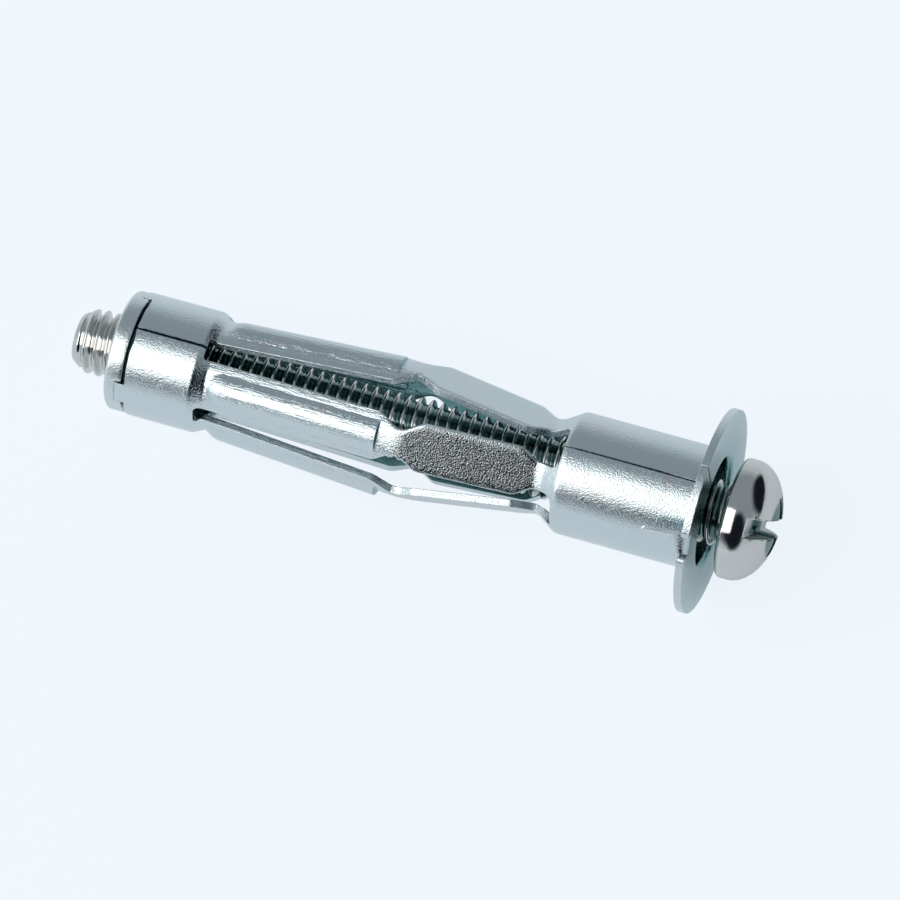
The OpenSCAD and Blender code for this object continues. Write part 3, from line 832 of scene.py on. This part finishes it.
def vector_math(tree, operation, first, second):
    """A vector node with constants or links as its inputs."""
    node = tree.nodes.new("ShaderNodeVectorMath")
    node.operation = operation
    for socket, value in zip(node.inputs, (first, second)):
        if isinstance(value, bpy.types.NodeSocket):
            tree.links.new(value, socket)
        else:
            socket.default_value = value
    return node.outputs["Value" if operation in ("DOT_PRODUCT", "LENGTH") else "Vector"]


def from_axis(tree, place):
    """The vector from the anchor's axis to each point, in metres."""
    axis = ANCHOR_TURN[:, 2]
    arm = vector_math(tree, "SUBTRACT", place, ANCHOR_PLACE)
    return vector_math(tree, "SUBTRACT", arm, vector_math(tree, "PROJECT", arm, axis))


def drawn_out(tree, place):
    """Coordinates squeezed along the anchor's axis, in which a noise makes streaks along it."""
    along = vector_math(tree, "PROJECT", place, ANCHOR_TURN[:, 2])
    cut = vector_math(tree, "MULTIPLY", along, (STREAK_CUT,) * 3)
    return vector_math(tree, "SUBTRACT", place, cut)


def inside_faces(tree, place):
    """1 where a surface faces the anchor's axis."""
    out = vector_math(tree, "NORMALIZE", from_axis(tree, place), (0, 0, 0))
    facing = vector_math(tree, "DOT_PRODUCT", out, surface_normal(tree))
    return fade(tree, facing, *FACES_IN)


def surface_normal(tree):
    """The normal of the smooth surface, before any relief."""
    return tree.nodes.new("ShaderNodeTexCoord").outputs["Normal"]


def fade(tree, value, start, end):
    """0 where a value is at start and 1 where it is at end."""
    node = tree.nodes.new("ShaderNodeMapRange")
    node.inputs["From Min"].default_value = start
    node.inputs["From Max"].default_value = end
    tree.links.new(value, node.inputs["Value"])
    return node.outputs["Result"]


def combined(tree, operation, first, second):
    """Two values put together."""
    node = tree.nodes.new("ShaderNodeMath")
    node.operation = operation
    tree.links.new(first, node.inputs[0])
    tree.links.new(second, node.inputs[1])
    return node.outputs[0]


def radius_at(tree, place):
    """The distance of each point from the axis, in metres."""
    return vector_math(tree, "LENGTH", from_axis(tree, place), (0, 0, 0))


def station_at(tree, place):
    """The station of each point along the axis, in metres."""
    arm = vector_math(tree, "SUBTRACT", place, ANCHOR_PLACE)
    return vector_math(tree, "DOT_PRODUCT", arm, ANCHOR_TURN[:, 2])


def on_ribs(tree, place):
    """1 along the ribbed part of the legs."""
    station = station_at(tree, place)
    front = fade(tree, station, BEND_Z * MM, RIB_FRONT_Z * MM)
    tail = fade(tree, station, BARREL_Z * MM, ROOT_Z * MM)
    return combined(tree, "MULTIPLY", front, tail)


def painted_flange_shade(tree, place):
    """Painted shade on the front of the flange, most round its mouth."""
    facing = vector_math(tree, "DOT_PRODUCT", surface_normal(tree), ANCHOR_TURN[:, 2])
    mouth_shade = fade(tree, radius_at(tree, place), (FLANGE_R + FACE_REACH) * MM, (BARREL_R + MOUTH_R) * MM)
    return combined(tree, "MULTIPLY", fade(tree, facing, *FACES_FRONT), mouth_shade)


def painted_sheet_shade(tree, place):
    """Painted shade: 1 on the inside of the sleeve, and less on the front of its flange."""
    return combined(tree, "MAXIMUM", inside_faces(tree, place), painted_flange_shade(tree, place))


def painted_groove_shade(tree, place):
    """Painted shade: 1 on the nut where it lies inside the sleeve or in the narrow gap before its collar."""
    depth = fade(tree, radius_at(tree, place), (COLLAR_R - 0.15) * MM, (NUT_R + 0.12) * MM)
    before_collar = fade(tree, station_at(tree, place), (COLLAR_END_Z - 0.3) * MM, COLLAR_Z * MM)
    return combined(tree, "MULTIPLY", depth, before_collar)


def worn_recess(tree, place):
    """How rough the screw is worn: only inside the recess, below the dome of its head."""
    belt, rise = (HEAD_Z - HEAD_BELT) * MM, (HEAD_H - HEAD_BELT) * MM
    station = station_at(tree, place)
    out = fade(tree, radius_at(tree, place), 0, HEAD_R * MM)
    up = fade(tree, station, belt, belt - rise)
    to_dome = combined(tree, "ADD", combined(tree, "MULTIPLY", out, out), combined(tree, "MULTIPLY", up, up))
    below_dome = ramp(tree, to_dome, (DOME_WORN, (RECESS_ROUGH,) * 3), (DOME_CLEAN, (0, 0, 0)))
    in_head = fade(tree, station, belt + 0.1 * MM, belt)
    return combined(tree, "MULTIPLY", below_dome, in_head)


def painted_root_shade(tree, place):
    """Painted shade: 1 at the bottom of the thread, between its crests, inside the sleeve."""
    flank_r = SCREW_R - 0.3 * ROOT_DEPTH
    depth = fade(tree, radius_at(tree, place), flank_r * MM, (SCREW_R - ROOT_DEPTH) * MM)
    hidden = fade(tree, station_at(tree, place), COLLAR_END_Z * MM, COLLAR_Z * MM)
    return combined(tree, "MULTIPLY", depth, hidden)


def coat(piece, material, body, node):
    """Gives a piece its material, the body that it rides and the CAD node that it replaces."""
    piece.data.materials.clear()
    piece.data.materials.append(material)
    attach(piece, body)
    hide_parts(node)


# ---------------------------------------------------------------- studio

def axis_point(station):
    """A point on the anchor's axis, in the row frame."""
    return Vector(ANCHOR_PLACE) + Vector(ANCHOR_TURN[:, 2]) * station * MM


def around(above, tailward):
    """A direction by its angle round the axis, above the camera's, and its angle towards the tail."""
    axis = Vector(ANCHOR_TURN[:, 2])
    facing = (TO_CAMERA - TO_CAMERA.dot(axis) * axis).normalized()
    up = axis.cross(facing)
    turn, lean = math.radians(above), math.radians(tailward)
    return math.cos(lean) * (math.cos(turn) * facing + math.sin(turn) * up) + math.sin(lean) * axis


def make_lamp():
    """A flat lamp that faces the anchor, wide along its axis, with the radiance it shows in a mirror."""
    direction = around(*LAMP_AIM)
    data = bpy.data.lights.new("key", "AREA")
    data.shape = "RECTANGLE"
    data.size = LAMP_WIDTH
    data.size_y = LAMP_HEIGHT
    data.energy = LAMP_RADIANCE * math.pi * LAMP_WIDTH * LAMP_HEIGHT
    data.color = LAMP_COLOR
    lamp = bpy.data.objects.new("key", data)
    lamp.location = axis_point(AIM_Z) + direction * LAMP_DISTANCE
    axis = Vector(ANCHOR_TURN[:, 2])
    wide = (axis - axis.dot(direction) * direction).normalized()
    lamp.rotation_mode = "QUATERNION"
    lamp.rotation_quaternion = Matrix((wide, direction.cross(wide), direction)).transposed().to_quaternion()
    bpy.context.scene.collection.objects.link(lamp)


def make_floor():
    """A floor that shows the backdrop's colour to the camera and in mirrors, and keeps a soft shadow."""
    mesh = bpy.data.meshes.new("floor")
    mesh.from_pydata([(x, y, 0) for x, y in box_corners(FLOOR_HALF, FLOOR_HALF)], [], [(0, 1, 2, 3)])
    floor = bpy.data.objects.new("floor", mesh)
    bpy.context.scene.collection.objects.link(floor)
    material = bpy.data.materials.new("floor_paper")
    material.use_nodes = True
    tree = material.node_tree
    paper = tree.nodes["Principled BSDF"]
    paper.inputs["Base Color"].default_value = (*BACKDROP, 1)
    paper.inputs["Roughness"].default_value = 0.9
    paper.inputs["Specular IOR Level"].default_value = 0.0
    glow = tree.nodes.new("ShaderNodeEmission")
    glow.inputs["Color"].default_value = (*BACKDROP, 1)
    glow.inputs["Strength"].default_value = FLOOR_GLOW
    path = tree.nodes.new("ShaderNodeLightPath")
    surface = paper.outputs[0]
    for ray, share in (("Is Camera Ray", CAMERA_GLOW_SHARE), ("Is Glossy Ray", MIRROR_GLOW_SHARE)):
        part = tree.nodes.new("ShaderNodeMath")
        part.operation = "MULTIPLY"
        part.inputs[1].default_value = share
        tree.links.new(path.outputs[ray], part.inputs[0])
        mix = tree.nodes.new("ShaderNodeMixShader")
        tree.links.new(part.outputs[0], mix.inputs["Fac"])
        tree.links.new(surface, mix.inputs[1])
        tree.links.new(glow.outputs[0], mix.inputs[2])
        surface = mix.outputs[0]
    tree.links.new(surface, tree.nodes["Material Output"].inputs["Surface"])
    mesh.materials.append(material)


def make_world():
    """The backdrop's colour to the camera; in reflections a pale horizon, grey walls and dark patches."""
    world = bpy.data.worlds.new("room")
    bpy.context.scene.world = world
    world.use_nodes = True
    tree = world.node_tree
    place = tree.nodes.new("ShaderNodeTexCoord").outputs["Generated"]
    height = vector_math(tree, "DOT_PRODUCT", place, (0, 0, 1))
    seen = ramp(tree, height, (HORIZON_TOP, HORIZON), (ROOM_FROM, ROOM))
    for aim, start, full in DARK_PATCHES:
        toward = vector_math(tree, "DOT_PRODUCT", place, around(*aim))
        patch = tree.nodes.new("ShaderNodeMixRGB")
        patch.inputs["Color2"].default_value = (*DARK, 1)
        tree.links.new(seen, patch.inputs["Color1"])
        tree.links.new(ramp(tree, toward, (start, (0, 0, 0)), (full, (1, 1, 1))), patch.inputs["Fac"])
        seen = patch.outputs["Color"]
    light = tree.nodes["Background"]
    tree.links.new(seen, light.inputs["Color"])
    shown = tree.nodes.new("ShaderNodeBackground")
    shown.inputs["Color"].default_value = (*BACKDROP, 1)
    mix = tree.nodes.new("ShaderNodeMixShader")
    tree.links.new(tree.nodes.new("ShaderNodeLightPath").outputs["Is Camera Ray"], mix.inputs["Fac"])
    tree.links.new(light.outputs[0], mix.inputs[1])
    tree.links.new(shown.outputs[0], mix.inputs[2])
    tree.links.new(mix.outputs[0], tree.nodes["World Output"].inputs["Surface"])


def make_camera():
    """The camera, with its long lens."""
    data = bpy.data.cameras.new("camera")
    data.lens = CAMERA_DISTANCE / FRAME_WIDTH * data.sensor_width
    data.clip_end = 20
    camera = bpy.data.objects.new("camera", data)
    camera.rotation_mode = "QUATERNION"
    camera.rotation_quaternion = (-TO_CAMERA).to_track_quat("-Z", "Y")
    up = camera.rotation_quaternion @ Vector((0, 1, 0))
    camera.location = axis_point(AIM_Z) - up * AIM_DROP * MM + TO_CAMERA * CAMERA_DISTANCE
    bpy.context.scene.collection.objects.link(camera)
    bpy.context.scene.camera = camera


# ---------------------------------------------------------------- the scene

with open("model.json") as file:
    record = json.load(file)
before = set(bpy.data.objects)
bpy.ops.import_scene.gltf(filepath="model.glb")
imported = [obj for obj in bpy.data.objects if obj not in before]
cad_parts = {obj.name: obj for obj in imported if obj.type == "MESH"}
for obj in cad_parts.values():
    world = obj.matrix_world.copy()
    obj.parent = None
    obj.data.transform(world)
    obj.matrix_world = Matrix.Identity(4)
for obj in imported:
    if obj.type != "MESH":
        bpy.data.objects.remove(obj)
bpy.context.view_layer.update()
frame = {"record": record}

# The anchor's own frame, from the mount at the front of the barrel: seam, side and axis
hole = next(m for m in frame["record"]["mounts"] if m["name"] == "wall_hole")
axis = Vector(hole["axis"]).normalized()
upright = (Vector((0, 0, 1)) - axis.z * axis).normalized()
level = axis.cross(upright)
seam = math.cos(SEAM_ROLL) * upright + math.sin(SEAM_ROLL) * level
ANCHOR_TURN = np.array([seam, axis.cross(seam), axis]).T
ANCHOR_PLACE = np.array(hole["pos_m"]) - np.array(axis) * FLANGE_T * MM

make_camera()
make_floor()
make_world()
make_lamp()

# The shade colours are painted shade: inside the sleeve and round the flange's mouth, on the nut inside the
# sleeve and before its collar, and at the thread's roots inside the sleeve
sheet_zinc = zinc(
    "sheet_zinc", base=(0.70, 0.775, 0.79), stain=(0.73, 0.73, 0.74), painted_shade=(0.29, 0.50, 0.51),
    painted_shade_mask=painted_sheet_shade, rough=(0.04, 0.08), peel=35e-6, streak=50e-6)
nut_zinc = zinc(
    "nut_zinc", base=(0.74, 0.79, 0.80), stain=(0.76, 0.76, 0.76), painted_shade=(0.03, 0.05, 0.06),
    painted_shade_mask=painted_groove_shade, rough=(0.14, 0.22), peel=30e-6)
screw_zinc = zinc(
    "screw_zinc", base=(0.71, 0.70, 0.68), stain=(0.66, 0.64, 0.60), painted_shade=(0.14, 0.25, 0.25),
    painted_shade_mask=painted_root_shade, rough=(0.08, 0.14), peel=3e-6, worn=worn_recess)
coat(make_sleeve(), sheet_zinc, "sleeve", "sleeve")
coat(make_nut(), nut_zinc, "sleeve", "nut")
coat(make_screw(), screw_zinc, "screw", "screw")

bpy.context.scene.view_settings.view_transform = "Standard"
